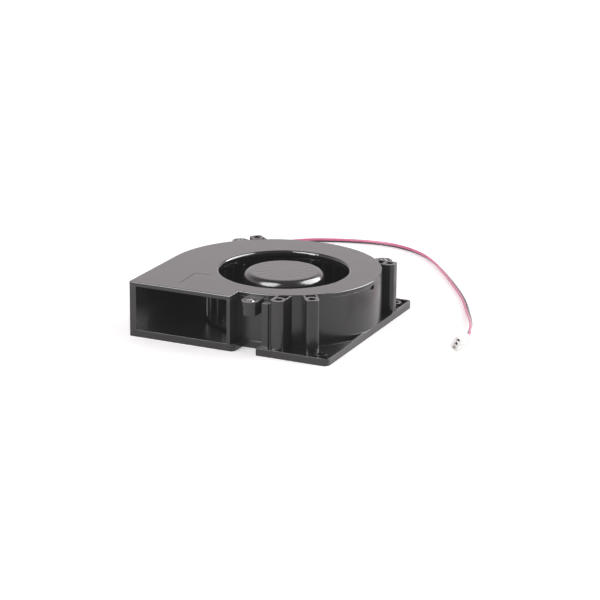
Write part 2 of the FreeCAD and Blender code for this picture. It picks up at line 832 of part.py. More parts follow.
def race(label, inner, outer, bottom):
    """Bearing race: a ring with a ball groove and running clearance."""
    tube = cylinder(label + "_blank", outer, bottom, bottom + " + bearing_width")
    bore = cylinder(label + "_bore", inner, bottom + " - 1", bottom + " + bearing_width + 1")
    groove = primitive("Torus", label + "_groove",
                       {"Radius1": "ball_circle", "Radius2": "ball_radius + running_gap"},
                       ("0", "0", bottom + " + bearing_width / 2"))
    return cut(label, tube, [bore, groove])


def ball_places():
    """Plan place of each ball on the ball circle."""
    step = "360 / ball_count"
    for number in range(DIMENSIONS["ball_count"]):
        angle = "(%d * %s * 1deg)" % (number, step)
        yield number, "ball_circle * cos%s" % angle, "ball_circle * sin%s" % angle


def balls(label, bottom):
    """Ring of loose balls kept as separate solids."""
    middle = bottom + " + bearing_width / 2"
    return gathered(label, [
        primitive("Sphere", "%s_%d" % (label, number), {"Radius": "ball_radius"}, (x, y, middle))
        for number, x, y in ball_places()])


def ball_cage(label, bottom):
    """Thin ribbon cage with a round pocket for each ball."""
    middle = "(%s + bearing_width / 2)" % bottom
    ribbon = cylinder(label + "_outside", "ball_circle + 0.2", middle + " - 0.95", middle + " + 0.95")
    inside = cylinder(label + "_inside", "ball_circle - 0.2", middle + " - 2", middle + " + 2")
    pockets = [
        primitive("Sphere", "%s_pocket_%d" % (label, number),
                  {"Radius": "ball_radius + running_gap"}, (x, y, middle))
        for number, x, y in ball_places()]
    return cut(label, ribbon, [inside] + pockets)


def bearing_shields(label, bottom):
    """Two thin steel shields held by the outer race."""
    inner = "(ball_circle - race_gap + 0.12)"
    outer = "(ball_circle + race_gap)"
    low = "(%s)" % bottom
    high = "(%s + bearing_width - shield_thickness)" % bottom
    body = new_body(label)
    for number, height in enumerate((low, high)):
        plan = sketch(body, "%s_plan_%d" % (label, number), height)
        circle(plan, inner)
        circle(plan, outer)
        pad(body, plan, "shield_thickness")
    return body


def bearing(side, bottom):
    """All the loose pieces of one shielded ball bearing."""
    return [
        race(side + "_inner_race", "shaft_radius", "ball_circle - race_gap", bottom),
        race(side + "_outer_race", "ball_circle + race_gap", "tube_inside", bottom),
        balls(side + "_bearing_balls", bottom),
        ball_cage(side + "_ball_cage", bottom),
        bearing_shields(side + "_bearing_shields", bottom),
    ]


def bearing_tube():
    """Brass tube with an inner shoulder that parts the two bearings."""
    return turned("bearing_tube", [
        ("tube_inside", "tube_bottom"),
        ("tube_outside", "tube_bottom"),
        ("tube_outside", "upper_bearing + bearing_width + 0.5"),
        ("tube_inside", "upper_bearing + bearing_width + 0.5"),
        ("tube_inside", "upper_bearing"),
        ("tube_shoulder", "upper_bearing"),
        ("tube_shoulder", "lower_bearing + bearing_width"),
        ("tube_inside", "lower_bearing + bearing_width"),
    ])


# ---------------------------------------------------------------------- stator

def stator_core():
    """Laminated stack with T-shaped teeth."""
    body = new_body("stator_core")
    ring = sketch(body, "core_ring_plan", "stack_bottom")
    circle(ring, "tube_outside")
    circle(ring, "core_ring")
    pad(body, ring, "stack_height")
    tooth = sketch(body, "tooth_plan", "stack_bottom")
    face = "(magnet_inside - air_gap)"
    spread = "(shoe_half_angle * 1deg)"
    outline(tooth, [
        ("core_ring - 0.6", "-tooth_width / 2"),
        ("tooth_end", "-tooth_width / 2"),
        ("shoe_inside * cos%s" % spread, "-shoe_inside * sin%s" % spread),
        ("%s * cos%s" % (face, spread), "-%s * sin%s" % (face, spread), face, "left"),
        ("%s * cos%s" % (face, spread), "%s * sin%s" % (face, spread)),
        ("shoe_inside * cos%s" % spread, "shoe_inside * sin%s" % spread),
        ("tooth_end", "tooth_width / 2"),
        ("core_ring - 0.6", "tooth_width / 2"),
    ])
    polar(body, pad(body, tooth, "stack_height"), "tooth_count")
    return body


def insulator(label, plate, collar, collar_height, flange, flange_height):
    """Moulded bobbin half: collar, arms over the teeth and an end flange on each arm."""
    body = new_body(label)
    ring = sketch(body, label + "_collar", collar)
    circle(ring, "tube_outside")
    circle(ring, "collar_radius")
    pad(body, ring, collar_height)
    arm = sketch(body, label + "_arm", plate)
    rectangle(arm, "collar_radius - 0.6", "-tooth_width / 2", "tooth_end + 0.4", "tooth_width / 2")
    polar(body, pad(body, arm, "bobbin"), "tooth_count")
    end = sketch(body, label + "_end", flange)
    rectangle(end, "coil_start + coil_length + 0.1", "-tooth_width / 2 - 1.2", "tooth_end + 0.4",
              "tooth_width / 2 + 1.2")
    polar(body, pad(body, end, flange_height), "tooth_count")
    return body


def stator_coils():
    """One rounded coil around each tooth."""
    body = new_body("stator_coils")
    plan = sketch(body, "coil_section", "coil_start", role="YZ_Plane")
    for grow in ("0", "coil_build"):
        half = "(tooth_width / 2 + 0.05 + %s)" % grow
        low = "(stack_bottom - bobbin - %s)" % grow
        high = "(stack_bottom + stack_height + bobbin + %s)" % grow
        if grow == "0":
            rectangle(plan, "-" + half, low, half, high)
        else:
            rounded_rectangle(plan, half, low, high, "coil_build")
    polar(body, pad(body, plan, "coil_length"), "tooth_count")
    return body


def rounded_rectangle(drawing, half, low, high, radius):
    """Upright rectangle with four rounded corners, centred across its own middle line."""
    outline(drawing, [
        ("-%s + %s" % (half, radius), low),
        ("%s - %s" % (half, radius), low, radius, "left"),
        (half, "%s + %s" % (low, radius)),
        (half, "%s - %s" % (high, radius), radius, "left"),
        ("%s - %s" % (half, radius), high),
        ("-%s + %s" % (half, radius), high, radius, "left"),
        ("-" + half, "%s - %s" % (high, radius)),
        ("-" + half, "%s + %s" % (low, radius), radius, "left"),
    ])


# --------------------------------------------------------------- circuit board

def circuit_board():
    """Round board that rests on the motor seat."""
    body = new_body("circuit_board")
    plan = sketch(body, "board_plan", "board_bottom")
    circle(plan, "board_radius")
    circle(plan, "tube_outside + 0.1")
    pad(body, plan, "board_thickness")
    return body


def board_box(label, radius, angle, sizes):
    """Component body that stands on the board, turned to face the motor axis."""
    length, width, height = sizes
    start = ("(%s - %s / 2) * cos(%s * 1deg)" % (radius, length, angle),
             "(%s - %s / 2) * sin(%s * 1deg)" % (radius, length, angle))
    bottom = "board_bottom + board_thickness"
    return bar(label, start, angle, length, width, bottom, "%s + %s" % (bottom, height))


def board_capacitor():
    """Upright can capacitor on the board between two coils."""
    bottom = "board_bottom + board_thickness"
    return cylinder("board_capacitor", "1.6", bottom, bottom + " + 5.2",
                    "13.4 * cos(45deg)", "13.4 * sin(45deg)")


def board_resistors():
    """Three chip resistors under the board."""
    chips = []
    for number in range(3):
        angle = "(%d)" % (200 + 14 * number)
        start = ("12.5 * cos(%s * 1deg)" % angle, "12.5 * sin(%s * 1deg)" % angle)
        chips.append(bar("resistor_%d" % number, start, angle, "2", "1.2", "board_bottom - 0.6", "board_bottom"))
    return gathered("board_resistors", chips)


# --------------------------------------------------------------- lead and plug

def lead_places():
    """Lay of the lead from board to plug: place of the pair's middle and its turn about its own line."""
    angle = math.radians(value("lead_exit_angle"))
    groove = value("relief_depth - lead_radius - lead_clearance")
    ground = value("lead_radius + lead_clearance")
    board = value("board_bottom")
    under_base = ((15, board - 0.05), (15.05, board - 1.4), (15.5, board - 3), (16.8, groove + 0.75), (19, groove + 0.1),
                  (22, groove), (32, groove), (46, groove), (58, groove - 0.15), (66, ground + 0.1))
    places = [(FreeCAD.Vector(reach * math.cos(angle), reach * math.sin(angle), height), 0)
              for reach, height in under_base]
    loop = ((-21, 73, 0), (-32, 87, 0), (-56, 107, 30), (-72, 128, 80), (-64.5, 149, 115), (-48, 161.6, 125),
            (-28.5, 168.7, 125), (-7, 171.2, 125), (5, 168.4, 125), (20, 160.3, 130), (38.8, 140.8, 135),
            (50.6, 125, 145), (64, 105.6, 155), (78.2, 82.9, 155))
    places += [(FreeCAD.Vector(x, y, ground), turn) for x, y, turn in loop]
    rising = ((89.4, 60.6, 0.6, 150), (94, 51, 1.3, 140), (98.6, 41, 2.3, 120), (103.6, 27.6, 3.6, 90),
              (107.2, 15, 4.7, 62))
    places += [(FreeCAD.Vector(x, y, ground + rise), turn) for x, y, rise, turn in rising]
    return places


def wire_points(side, cavity):
    """Line of one wire: beside its partner along the lead, then into its own plug cavity."""
    places = lead_places()
    middle = Part.BSplineCurve()
    middle.interpolate(Points=[place for place, _ in places])
    knots = middle.getKnots()
    half_pitch = value("lead_half_pitch")
    ground = value("lead_radius + lead_clearance")
    angle = math.radians(value("lead_exit_angle"))
    across_groove = FreeCAD.Vector(-math.sin(angle), math.cos(angle), 0)
    points = []
    steps = 3
    for index in range(len(places) - 1):
        for step in range(steps):
            share = step / steps
            at = knots[index] + (knots[index + 1] - knots[index]) * share
            place = middle.value(at)
            along = middle.tangent(at)[0]
            flat = FreeCAD.Vector(-along.y, along.x, 0)
            flat = flat.normalize() if flat.Length > 0.8 else across_groove
            turn = places[index][1] * (1 - share) + places[index + 1][1] * share
            spin = math.radians(turn)
            lift = half_pitch * abs(math.sin(spin))
            place.z = max(place.z, ground + lift)
            shift = flat * math.cos(spin) + FreeCAD.Vector(0, 0, math.sin(spin))
            points.append(place + shift * (side * half_pitch))
    laid = plug_rotation()
    front = FreeCAD.Vector(value("plug_across"), value("plug_front"), value("plug_centre_height"))
    rear = value("plug_length")
    for depth in (0.5, -1.5, -3.8):
        points.append(front + laid.multVec(FreeCAD.Vector(cavity * value("plug_pitch"), rear + depth, 0)))
    return points


def lead_wire(label, side, cavity):
    """Insulated wire as a swept feature, because its twist follows no sketch plane."""
    wire = doc.addObject("Part::Feature", label)
    wire.Shape = round_bar(wire_points(side, cavity), value("lead_radius"))
    return wire


def plug_rotation():
    """Rotation of the plug: leaning on its edge, and turned a little towards the lead."""
    lean = FreeCAD.Rotation(FreeCAD.Vector(0, 1, 0), -value("plug_lean"))
    return FreeCAD.Rotation(FreeCAD.Vector(0, 0, 1), -value("plug_heading")) * lean


def plug_place(item):
    """Lay a plug piece where the lead holds it."""
    item.setExpression("Placement.Base.x", formula("plug_across"))
    item.setExpression("Placement.Base.y", formula("plug_front"))
    item.setExpression("Placement.Base.z", formula("plug_centre_height"))
    item.Placement.Rotation = plug_rotation()


def plug_housing():
    """Three-way plug housing: row of square cavities, side windows and a locking ridge."""
    half = "(1.5 * plug_pitch + 0.15)"
    thick = "plug_thickness"
    sizes = {"Length": "2 * " + half, "Width": "plug_length", "Height": thick}
    block = primitive("Box", "plug_block", sizes, ("-" + half, "0", "-%s / 2" % thick))
    ridge = primitive("Box", "plug_ridge", {"Length": "plug_pitch * 2", "Width": "1.2", "Height": "0.9"},
                      ("-plug_pitch", "plug_length * 0.45", "%s / 2" % thick))
    guides = [primitive("Box", "plug_guide_%d" % number,
                        {"Length": "0.9", "Width": "plug_length * 0.6", "Height": "0.7"},
                        ("%d * plug_pitch - 0.45" % number, "0.2", "-%s / 2 - 0.7" % thick))
              for number in (-1, 1)]
    openings = []
    for number in (-1, 0, 1):
        left = "%d * plug_pitch - plug_cavity / 2" % number
        openings.append(primitive("Box", "plug_cavity_%d" % number,
                                  {"Length": "plug_cavity", "Width": "plug_length + 2", "Height": "plug_cavity"},
                                  (left, "-1", "-plug_cavity / 2")))
        openings.append(primitive("Box", "plug_window_%d" % number,
                                  {"Length": "plug_cavity * 0.6", "Width": "2.2", "Height": thick},
                                  (left + " + plug_cavity * 0.2", "plug_length * 0.3", "0")))
    housing = cut("plug_housing", fused("plug_solid", [block, ridge] + guides), openings)
    plug_place(housing)
    return housing


def plug_contact(label, number):
    """Stamped box contact with a crimped tail, held in one cavity."""
    side = "(plug_cavity - 0.1)"
    hollow = "(plug_cavity - 0.1 - 2 * contact_wall)"
    left = "%s * plug_pitch" % number
    outer = primitive("Box", label + "_box", {"Length": side, "Width": "contact_length", "Height": side},
                      ("%s - %s / 2" % (left, side), "0.6", "-%s / 2" % side))
    inner = primitive("Box", label + "_room", {"Length": hollow, "Width": "contact_length + 2", "Height": hollow},
                      ("%s - %s / 2" % (left, hollow), "0", "-%s / 2" % hollow))
    contact = cut(label, outer, [inner])
    plug_place(contact)
    return contact


# ------------------------------------------------------------------- build and save

def build():
    """Make every sub-part and return the ones that are saved."""
    parts = [lower_casing(), top_cover(), rear_label()]
    parts += [cover_screw(name, place) for name, place, _ in LUGS]
    parts += [impeller(), rotor_yoke(), rotor_magnet(), shaft_bushing(), shaft(), retaining_clip()]
    parts += [preload_spring(), bearing_tube()]
    parts += bearing("lower", "lower_bearing")
    parts += bearing("upper", "upper_bearing")
    parts += [stator_core(), stator_coils(), circuit_board(), board_capacitor(), board_resistors()]
    parts.append(insulator("lower_insulator", "stack_bottom - bobbin", "board_bottom + board_thickness",
                           "stack_bottom - board_bottom - board_thickness",
                           "stack_bottom - bobbin - 1.8", "1.8 + bobbin"))
    parts.append(insulator("upper_insulator", "stack_bottom + stack_height", "stack_bottom + stack_height",
                           "2.8", "stack_bottom + stack_height", "1.8 + bobbin"))
    parts.append(board_box("hall_sensor", "16.4", "135", ("1.6", "3", "2.4")))
    parts.append(board_box("driver_chip", "13.6", "-45", ("4", "5", "1.4")))
    parts += [lead_wire("red_wire", 1, 1), lead_wire("black_wire", -1, 0)]
    parts += [plug_housing(), plug_contact("red_contact", "1"), plug_contact("black_contact", "0")]
    return parts


def check(parts):
    """Stop if any object failed to build or any sub-part is empty or broken."""
    for item in doc.Objects:
        if "Invalid" in item.State or "Error" in item.State:
            raise RuntimeError("failed: " + item.Label)
    for part in parts:
        if part.Shape.isNull() or not part.Shape.isValid() or not part.Shape.Solids:
            raise RuntimeError("bad shape: " + part.Label)


sub_parts = build()
doc.recompute()
check(sub_parts)
os.makedirs("parts", exist_ok=True)
for part in sub_parts:
    part.Shape.exportStep("parts/%s.step" % part.Label)
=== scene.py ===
import math

import bpy
from mathutils import Matrix, Vector


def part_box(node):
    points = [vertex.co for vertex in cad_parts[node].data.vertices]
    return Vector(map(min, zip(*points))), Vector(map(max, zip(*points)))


MM = 0.001

# Intake lip: its outer radius, the width over which its polish fades out, and its
# roughness as a share of the cover's.
INTAKE_LIP = 38.3 * MM
LIP_FADE = 0.3 * MM
LIP_POLISH = 0.45

# Rayed disc moulded into the hub top: number of rays, radii where they start, reach full
# depth and end, radii and width of the two rings round them, and the relief's depth.
HUB_RAYS = 16.0
RAYS_START = 3 * MM
RAYS_FULL = 10 * MM
RAYS_END = 16.5 * MM
HUB_OUTER_RING = 17.2 * MM
HUB_INNER_RING = 2.6 * MM
HUB_RING_WIDTH = 0.8 * MM
HUB_RELIEF = 0.014 * MM

# Printed rings of the label, as radius and line width.
LABEL_OUTER_RING = (20.3 * MM, 0.5 * MM)
LABEL_INNER_RING = (6 * MM, 0.4 * MM)

# Camera, as angles and a distance from the middle of the fan's footing.
CAMERA_TURN = math.radians(24.71)
CAMERA_RISE = math.radians(17.42)
CAMERA_ROLL = math.radians(0.56)
CAMERA_DISTANCE = 1.362
CAMERA_SHIFT_RIGHT = 0.0143
CAMERA_SHIFT_UP = 0.0122
CAMERA_LENS = 142.5
CAMERA_SENSOR = 36.0

# Walls and ceiling: brightness near the horizon and overhead, the upward part of the
# direction where one turns into the other, the share left behind the camera, and the tint.
WALL_LIGHT = 1.3
CEILING_LIGHT = 0.4
WALL_TOP = 0.4
CEILING_EDGE = 0.75
CAMERA_SIDE = 0.45
WALL_TINT = (1.0, 0.93, 0.965, 1.0)

# Softboxes: swing from the camera and rise in degrees, width and height in metres.
SOFTBOXES = {
    "softbox_left": (-48, 40, 0.95, 1.4),
    "softbox_right": (102, 34, 1.3, 1.3),
}
SOFTBOX_DISTANCE = 1.2
SOFTBOX_LIGHT = 1.6

# Extra light of each softbox that acts on glossy surfaces only.
SHINE_DISTANCE = 1.19
SHINE_LIGHT = 14.0

# Floor: side length, drop below the fan's underside, and its own glow.
FLOOR_SIZE = 6.0
FLOOR_DROP = 0.02 * MM
FLOOR_GLOW = 0.35

# Share of full brightness that the picture's darkest shadows keep.
SHADOW_LIFT = 0.011


def join(tree, source, target):
    """Link an output socket to an input socket."""
    tree.links.new(source, target)


def node(tree, kind, inputs=None, **settings):
    """Add a shader node, set its properties, then fill or link its inputs."""
    made = tree.nodes.new(kind)
    for name, value in settings.items():
        setattr(made, name, value)
    for name, value in (inputs or {}).items():
        if isinstance(value, bpy.types.NodeSocket):
            join(tree, value, made.inputs[name])
        else:
            made.inputs[name].default_value = value
    return made


def grey(level):
    """A neutral colour."""
    return (level, level, level, 1.0)


def place_of(tree):
    """Coordinates fixed to the piece, in metres."""
    return node(tree, "ShaderNodeTexCoord").outputs["Object"]


def noise(tree, size, detail=3.0, roughness=0.5, place=None, stretch=None):
    """Smooth random pattern whose patches are about size metres wide."""
    place = place or place_of(tree)
    if stretch:
        place = node(tree, "ShaderNodeMapping", {"Vector": place, "Scale": stretch}).outputs["Vector"]
    made = node(
        tree,
        "ShaderNodeTexNoise",
        {"Vector": place, "Scale": 1 / size, "Detail": detail, "Roughness": roughness},
    )
    return made.outputs["Fac"]


def spread(tree, value, low, high, start=0.3, end=0.7):
    """Map a pattern's start..end range onto low..high."""
    made = node(
        tree,
        "ShaderNodeMapRange",
        {"Value": value, "From Min": start, "From Max": end, "To Min": low, "To Max": high},
    )
    return made.outputs["Result"]


def split(tree, vector):
    """The x, y and z of a vector."""
    parts = node(tree, "ShaderNodeSeparateXYZ", {"Vector": vector}).outputs
    return parts["X"], parts["Y"], parts["Z"]


def maths(tree, operation, first, second=0.0, clamp=False):
    """One arithmetic step."""
    made = node(tree, "ShaderNodeMath", operation=operation, use_clamp=clamp)
    for socket, value in zip(made.inputs, (first, second)):
        if isinstance(value, bpy.types.NodeSocket):
            join(tree, value, socket)
        else:
            socket.default_value = value
    return made.outputs["Value"]


def blended(tree, share, first, second):
    """Mix two colours."""
    made = node(tree, "ShaderNodeMix", data_type="RGBA")
    for index, value in ((0, share), (6, first), (7, second)):
        if isinstance(value, bpy.types.NodeSocket):
            join(tree, value, made.inputs[index])
        else:
            made.inputs[index].default_value = value
    return made.outputs[2]


def polar(tree):
    """Distance from the piece's upright axis in metres, and the angle round it."""
    x, y, _ = split(tree, place_of(tree))
    squares = maths(tree, "ADD", maths(tree, "MULTIPLY", x, x), maths(tree, "MULTIPLY", y, y))
    return maths(tree, "SQRT", squares), maths(tree, "ARCTAN2", y, x)


def ring(tree, distance, radius, width):
    """1 on a soft-sided ring of the given radius and width, 0 elsewhere."""
    offset = maths(tree, "ABSOLUTE", maths(tree, "SUBTRACT", distance, radius))
    return spread(tree, offset, 1.0, 0.0, width * 0.3, width * 0.7)


def bumped(tree, height, depth, normal=None):
    """Raise the surface by a pattern, depth in metres."""
    made = node(tree, "ShaderNodeBump", {"Height": height, "Distance": depth, "Strength": 1.0})
    if normal:
        join(tree, normal, made.inputs["Normal"])
    return made.outputs["Normal"]


def soft_edges(tree, radius):
    """Normal that rounds every sharp edge by radius."""
    return node(tree, "ShaderNodeBevel", {"Radius": radius}, samples=6).outputs["Normal"]


def edge_mask(tree, rounded):
    """1 on edges and 0 on flats, from how far the rounded normal turns from the true one."""
    true = node(tree, "ShaderNodeNewGeometry").outputs["Normal"]
    facing = node(tree, "ShaderNodeVectorMath", {0: rounded, 1: true}, operation="DOT_PRODUCT")
    return spread(tree, facing.outputs["Value"], 1.0, 0.0, 0.8, 0.99)


def new_material(name):
    """An empty material with its surface shader."""
    material = bpy.data.materials.new(name)
    material.use_nodes = True
    tree = material.node_tree
    tree.nodes.clear()
    surface = node(tree, "ShaderNodeBsdfPrincipled")
    output = node(tree, "ShaderNodeOutputMaterial")
    join(tree, surface.outputs["BSDF"], output.inputs["Surface"])
    return material, tree, surface


def feed(tree, surface, **inputs):
    """Set or link the surface shader's inputs; underscores stand for spaces."""
    for name, value in inputs.items():
        socket = surface.inputs[name.replace("_", " ")]
        if isinstance(value, bpy.types.NodeSocket):
            join(tree, value, socket)
        else:
            socket.default_value = value


def moulded_plastic(name, colour, roughness, grain_size, grain_depth, edge=0.25 * MM):
    """Injection-moulded plastic: fine etched grain, flow mottle, soft scuffed edges."""
    material, tree, surface = new_material(name)
    rounded = soft_edges(tree, edge)
    mottle = noise(tree, 14 * MM, 4.0)
    grain = noise(tree, grain_size, 2.0, 0.6)
    worn = edge_mask(tree, rounded)
    scuff = noise(tree, 2.5 * MM, 6.0, 0.7)
    darker = tuple(channel * 0.82 for channel in colour[:3]) + (1.0,)
    lighter = tuple(channel * 1.8 + 0.01 for channel in colour[:3]) + (1.0,)
    base = blended(tree, spread(tree, mottle, 0.0, 1.0), darker, colour)
    worn = maths(tree, "MULTIPLY", worn, spread(tree, scuff, 0.0, 0.6), clamp=True)
    base = blended(tree, worn, base, lighter)
    polish = maths(tree, "ADD", spread(tree, mottle, roughness - 0.012, roughness + 0.012),
                   spread(tree, scuff, -0.012, 0.015))
    feed(
        tree,
        surface,
        Base_Color=base,
        Roughness=polish,
        Normal=bumped(tree, grain, grain_depth, rounded),
    )
    return material


def casing_plastic():
    """Black glass-filled polyester of the lower casing, lightly etched."""
    return moulded_plastic("casing_plastic", (0.0145, 0.0132, 0.0138, 1), 0.24, 0.5 * MM, 0.0025 * MM)


def cover_plastic():
    """The same black plastic with a finer grain, polished on the rolled lip of the intake."""
    colour = (0.0145, 0.0132, 0.0139, 1)
    material = moulded_plastic("cover_plastic", colour, 0.23, 0.4 * MM, 0.0015 * MM, 0.1 * MM)
    tree = material.node_tree
    surface = tree.nodes["Principled BSDF"]
    etched = surface.inputs["Roughness"].links[0].from_socket
    distance, _ = polar(tree)
    lip = spread(tree, distance, LIP_POLISH, 1.0, INTAKE_LIP - LIP_FADE, INTAKE_LIP + LIP_FADE)
    join(tree, maths(tree, "MULTIPLY", etched, lip), surface.inputs["Roughness"])
    return material


def impeller_plastic():
    """Polished black plastic of the impeller, with a plain rayed disc moulded into the hub top."""
    material = moulded_plastic("impeller_plastic", (0.0135, 0.0124, 0.013, 1), 0.2, 0.8 * MM, 0.0015 * MM)
    tree = material.node_tree
    surface = tree.nodes["Principled BSDF"]
    grain = surface.inputs["Normal"].links[0].from_socket
    hub_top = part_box("impeller")[1].z
    _, _, height = split(tree, place_of(tree))
    on_top = maths(tree, "GREATER_THAN", height, hub_top - 0.05 * MM)
    distance, angle = polar(tree)
    rays = maths(tree, "SINE", maths(tree, "MULTIPLY", angle, HUB_RAYS))
    fade = spread(tree, distance, 0.0, 1.0, RAYS_START, RAYS_FULL)
    inside = maths(tree, "LESS_THAN", distance, RAYS_END)
    relief = maths(tree, "MULTIPLY", maths(tree, "MULTIPLY", rays, fade), inside)
    outer = ring(tree, distance, HUB_OUTER_RING, HUB_RING_WIDTH)
    relief = maths(tree, "ADD", relief, maths(tree, "MULTIPLY", outer, 1.5))
    relief = maths(tree, "ADD", relief, ring(tree, distance, HUB_INNER_RING, HUB_RING_WIDTH))
    relief = maths(tree, "MULTIPLY", relief, on_top)
    join(tree, bumped(tree, relief, HUB_RELIEF, grain), surface.inputs["Normal"])
    return material


def bobbin_plastic():
    """Off-white insulator plastic."""
    return moulded_plastic("bobbin_plastic", (0.62, 0.58, 0.48, 1), 0.5, 0.4 * MM, 0.006 * MM)


def plug_plastic():
    """Milky white nylon of the plug housing."""
    material = moulded_plastic("plug_plastic", (0.83, 0.82, 0.80, 1), 0.38, 0.3 * MM, 0.004 * MM, 0.1 * MM)
    surface = material.node_tree.nodes["Principled BSDF"]
    surface.inputs["Subsurface Weight"].default_value = 0.7
    surface.inputs["Subsurface Radius"].default_value = (1.0, 0.95, 0.9)
    surface.inputs["Subsurface Scale"].default_value = 1.5 * MM
    return material


def chip_black():
    """Dull moulded epoxy of the small chips."""
    return moulded_plastic("chip_black", (0.03, 0.03, 0.032, 1), 0.6, 0.15 * MM, 0.006 * MM, 0.06 * MM)


def magnet():
    """Dark plastic-bonded ferrite."""
    return moulded_plastic("magnet", (0.05, 0.045, 0.042, 1), 0.55, 0.25 * MM, 0.015 * MM, 0.1 * MM)


def metal(name, colour, roughness, scratch_size, scratch_depth, stretch=(1, 1, 1), edge=0.1 * MM):
    """Bare or plated metal: fine scratches along stretch, uneven sheen, brighter edges."""
    material, tree, surface = new_material(name)
    rounded = soft_edges(tree, edge)
    cloud = noise(tree, 4 * MM, 4.0)
    scratch = noise(tree, scratch_size, 4.0, 0.7, stretch=stretch)
    tarnish = tuple(channel * 0.7 for channel in colour[:3]) + (1.0,)
    base = blended(tree, spread(tree, cloud, 0.0, 1.0), tarnish, colour)
    base = blended(tree, edge_mask(tree, rounded), base, colour)
    polish = maths(tree, "ADD", spread(tree, cloud, roughness - 0.05, roughness + 0.06),
                   spread(tree, scratch, -0.04, 0.05))
    feed(
        tree,
        surface,
        Base_Color=base,
        Metallic=1.0,
        Roughness=polish,
        Normal=bumped(tree, scratch, scratch_depth, rounded),
    )
    return material


def screw_steel():
    """Black-zinc plated screw steel."""
    return metal("screw_steel", (0.33, 0.32, 0.33, 1), 0.22, 0.3 * MM, 0.003 * MM)


def yoke_steel():
    """Deep-drawn zinc-plated steel cup, with draw lines along its height."""
    return metal("yoke_steel", (0.62, 0.62, 0.60, 1), 0.34, 0.5 * MM, 0.004 * MM, (1, 1, 0.1))


def brass():
    """Turned brass."""
    return metal("brass", (0.78, 0.58, 0.27, 1), 0.28, 0.3 * MM, 0.004 * MM, (0.2, 0.2, 3))


def bright_steel():
    """Ground shaft steel and spring wire."""
    return metal("bright_steel", (0.72, 0.71, 0.70, 1), 0.18, 0.15 * MM, 0.001 * MM, (0.3, 0.3, 4))


def bearing_steel():
    """Polished bearing steel."""
    return metal("bearing_steel", (0.66, 0.66, 0.67, 1), 0.15, 0.2 * MM, 0.001 * MM, (0.3, 0.3, 3))


def tinned_contact():
    """Tin-plated contact strip."""
    return metal("tinned_contact", (0.78, 0.77, 0.74, 1), 0.3, 0.2 * MM, 0.002 * MM)


def bands(tree, pitch):
    """Even level stripes, one every pitch metres."""
    made = node(
        tree,
        "ShaderNodeTexWave",
        {"Vector": place_of(tree), "Scale": math.tau / 20 / pitch, "Distortion": 0.0},
        wave_type="BANDS",
        bands_direction="Z",
        wave_profile="SIN",
    )
    return made.outputs["Fac"]


def core_steel():
    """Stacked electrical-steel sheets, half a millimetre each, with blued cut edges."""
    material, tree, surface = new_material("core_steel")
    rounded = soft_edges(tree, 0.08 * MM)
    layers = bands(tree, 0.5 * MM)
    cloud = noise(tree, 3 * MM, 4.0)
    base = blended(tree, spread(tree, cloud, 0, 1), (0.16, 0.16, 0.18, 1), (0.30, 0.29, 0.29, 1))
    base = blended(tree, spread(tree, layers, 1, 0, 0.0, 0.25), base, (0.05, 0.05, 0.055, 1))
    feed(
        tree,
        surface,
        Base_Color=base,
        Metallic=0.85,
        Roughness=spread(tree, cloud, 0.38, 0.52),
        Normal=bumped(tree, layers, 0.04 * MM, rounded),
    )
    return material


def copper_winding():
    """Enamelled copper wire laid in even turns, with painted shade in the grooves between them."""
    material, tree, surface = new_material("copper_winding")
    turns = bands(tree, 0.35 * MM)
    cloud = noise(tree, 2 * MM, 4.0)
    base = blended(tree, spread(tree, cloud, 0, 1), (0.50, 0.17, 0.06, 1), (0.72, 0.30, 0.12, 1))
    # Painted shade: the copper is darker in the grooves between neighbouring turns.
    base = blended(tree, spread(tree, turns, 1, 0, 0.0, 0.3), base, (0.16, 0.05, 0.02, 1))
    feed(
        tree,
        surface,
        Base_Color=base,
        Metallic=0.8,
        Roughness=spread(tree, cloud, 0.22, 0.32),
        Coat_Weight=0.6,
        Coat_Roughness=0.15,
        Normal=bumped(tree, turns, 0.08 * MM),
    )
    return material


def board():
    """Green solder mask over copper tracks, bare woven edge."""
    material, tree, surface = new_material("board")
    rounded = soft_edges(tree, 0.05 * MM)
    cells = node(
        tree,
        "ShaderNodeTexVoronoi",
        {"Vector": place_of(tree), "Scale": 1 / (3.2 * MM), "Randomness": 0.55},
        feature="DISTANCE_TO_EDGE",
        distance="EUCLIDEAN",
    )
    tracks = spread(tree, cells.outputs["Distance"], 1, 0, 0.06, 0.09)
    cloud = noise(tree, 2 * MM, 4.0)
    mask = blended(tree, spread(tree, cloud, 0, 1), (0.012, 0.085, 0.035, 1), (0.016, 0.11, 0.045, 1))
    base = blended(tree, tracks, mask, (0.03, 0.20, 0.075, 1))
    feed(
        tree,
        surface,
        Base_Color=base,
        Roughness=spread(tree, cloud, 0.26, 0.36),
        Normal=bumped(tree, tracks, 0.03 * MM, rounded),
    )
    return material


def capacitor_can():
    """Aluminium can in a dark shrunk sleeve."""
    return moulded_plastic("capacitor_can", (0.02, 0.022, 0.05, 1), 0.3, 0.6 * MM, 0.004 * MM, 0.2 * MM)


def label():
    """Blank satin polyester label with two thin printed rings."""
    material, tree, surface = new_material("label")
    fibre = noise(tree, 0.25 * MM, 4.0, 0.7)
    cloud = noise(tree, 9 * MM, 3.0)
    base = blended(tree, spread(tree, cloud, 0, 1), (0.74, 0.74, 0.73, 1), (0.80, 0.80, 0.79, 1))
    distance, _ = polar(tree)
    outer = ring(tree, distance, *LABEL_OUTER_RING)
    border = maths(tree, "ADD", outer, ring(tree, distance, *LABEL_INNER_RING))
    base = blended(tree, border, base, (0.05, 0.05, 0.055, 1))
    feed(
        tree,
        surface,
        Base_Color=base,
        Roughness=spread(tree, fibre, 0.38, 0.5),
        Normal=bumped(tree, fibre, 0.006 * MM, soft_edges(tree, 0.05 * MM)),
    )
    return material


